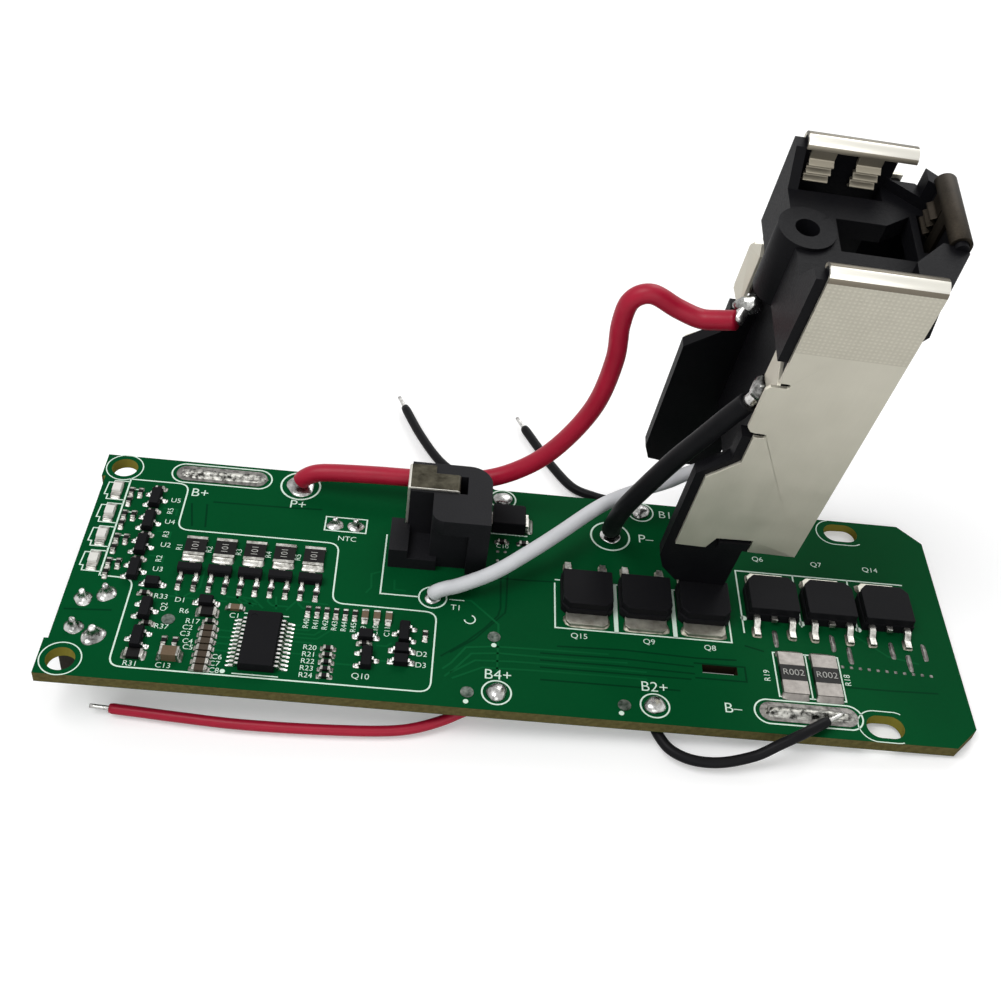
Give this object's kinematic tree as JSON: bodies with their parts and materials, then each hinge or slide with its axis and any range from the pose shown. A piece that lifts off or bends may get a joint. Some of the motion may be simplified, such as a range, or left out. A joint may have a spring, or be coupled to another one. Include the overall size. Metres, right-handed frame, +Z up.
{
  "type": "battery protection board",
  "caption": "Battery protection board with surface-mount parts, power transistors, a contact holder, a wired upright terminal tower with nickel contacts, and loose sense leads.",
  "frame": {"origin": "midway between the two round screw holes, on the parts side of the board", "axes": "+X along the board from the gauge end to the power end, +Y across the board towards the edge with the positive wire, +Z up out of the parts side"},
  "size_m": [0.1123, 0.0632, 0.068],
  "materials": {
    "solder_mask": "green solder mask with pale legend over copper",
    "solder": "bright tin solder",
    "tinned_metal": "matt tin plating",
    "black_epoxy": "moulded epoxy",
    "resistor_black": "glazed black film",
    "ceramic_tan": "fired ceramic",
    "led_white": "white laminate",
    "led_lens": "clear resin",
    "black_plastic": "satin moulded plastic",
    "button_plastic": "matt moulded plastic",
    "nickel": "warm nickel plating",
    "red_sleeve": "soft silicone sleeve",
    "black_sleeve": "soft silicone sleeve",
    "white_sleeve": "soft silicone sleeve"
  },
  "bodies": {
    "board": {"circuit_board": "solder_mask", "cell_slot_solder": "solder", "wire_joints": "solder", "pin_joints": "solder", "test_pads": "solder", "led_bodies": "led_white", "led_lenses": "led_lens", "led_terminals": "tinned_metal", "transistor_bodies": "black_epoxy", "transistor_leads": "tinned_metal", "chip_resistors": "resistor_black", "chip_capacitors": "ceramic_tan", "chip_ends": "tinned_metal", "balance_resistors": "resistor_black", "balance_terminals": "tinned_metal", "controller_body": "black_epoxy", "controller_leads": "tinned_metal", "shunt_bodies": "resistor_black", "shunt_terminals": "tinned_metal", "power_diode": "black_epoxy", "power_diode_terminals": "tinned_metal", "fet_bodies": "black_epoxy", "fet_tabs": "tinned_metal", "fet_leads": "tinned_metal", "contact_holder": "black_plastic", "holder_clip": "nickel", "switch_body": "black_plastic", "switch_bracket": "nickel", "switch_pins": "nickel", "tower_housing": "black_plastic", "negative_contact": "nickel", "positive_contact": "nickel", "sense_contact": "nickel", "tower_solder": "solder", "positive_wire": "red_sleeve", "negative_wire": "black_sleeve", "signal_wire": "white_sleeve", "sense_wire_1": "black_sleeve", "sense_wire_2": "black_sleeve", "sense_wire_3": "black_sleeve", "sense_wire_4": "red_sleeve", "bare_tips": "solder"},
    "button": {"switch_plunger": "button_plastic"}
  },
  "joints": [
    {"name": "button_press", "type": "slide", "parent": "board", "child": "button", "axis": [1, 0, 0], "range_m": [0, 0.00025], "stiffness_N_per_m": 2000}
  ]
}
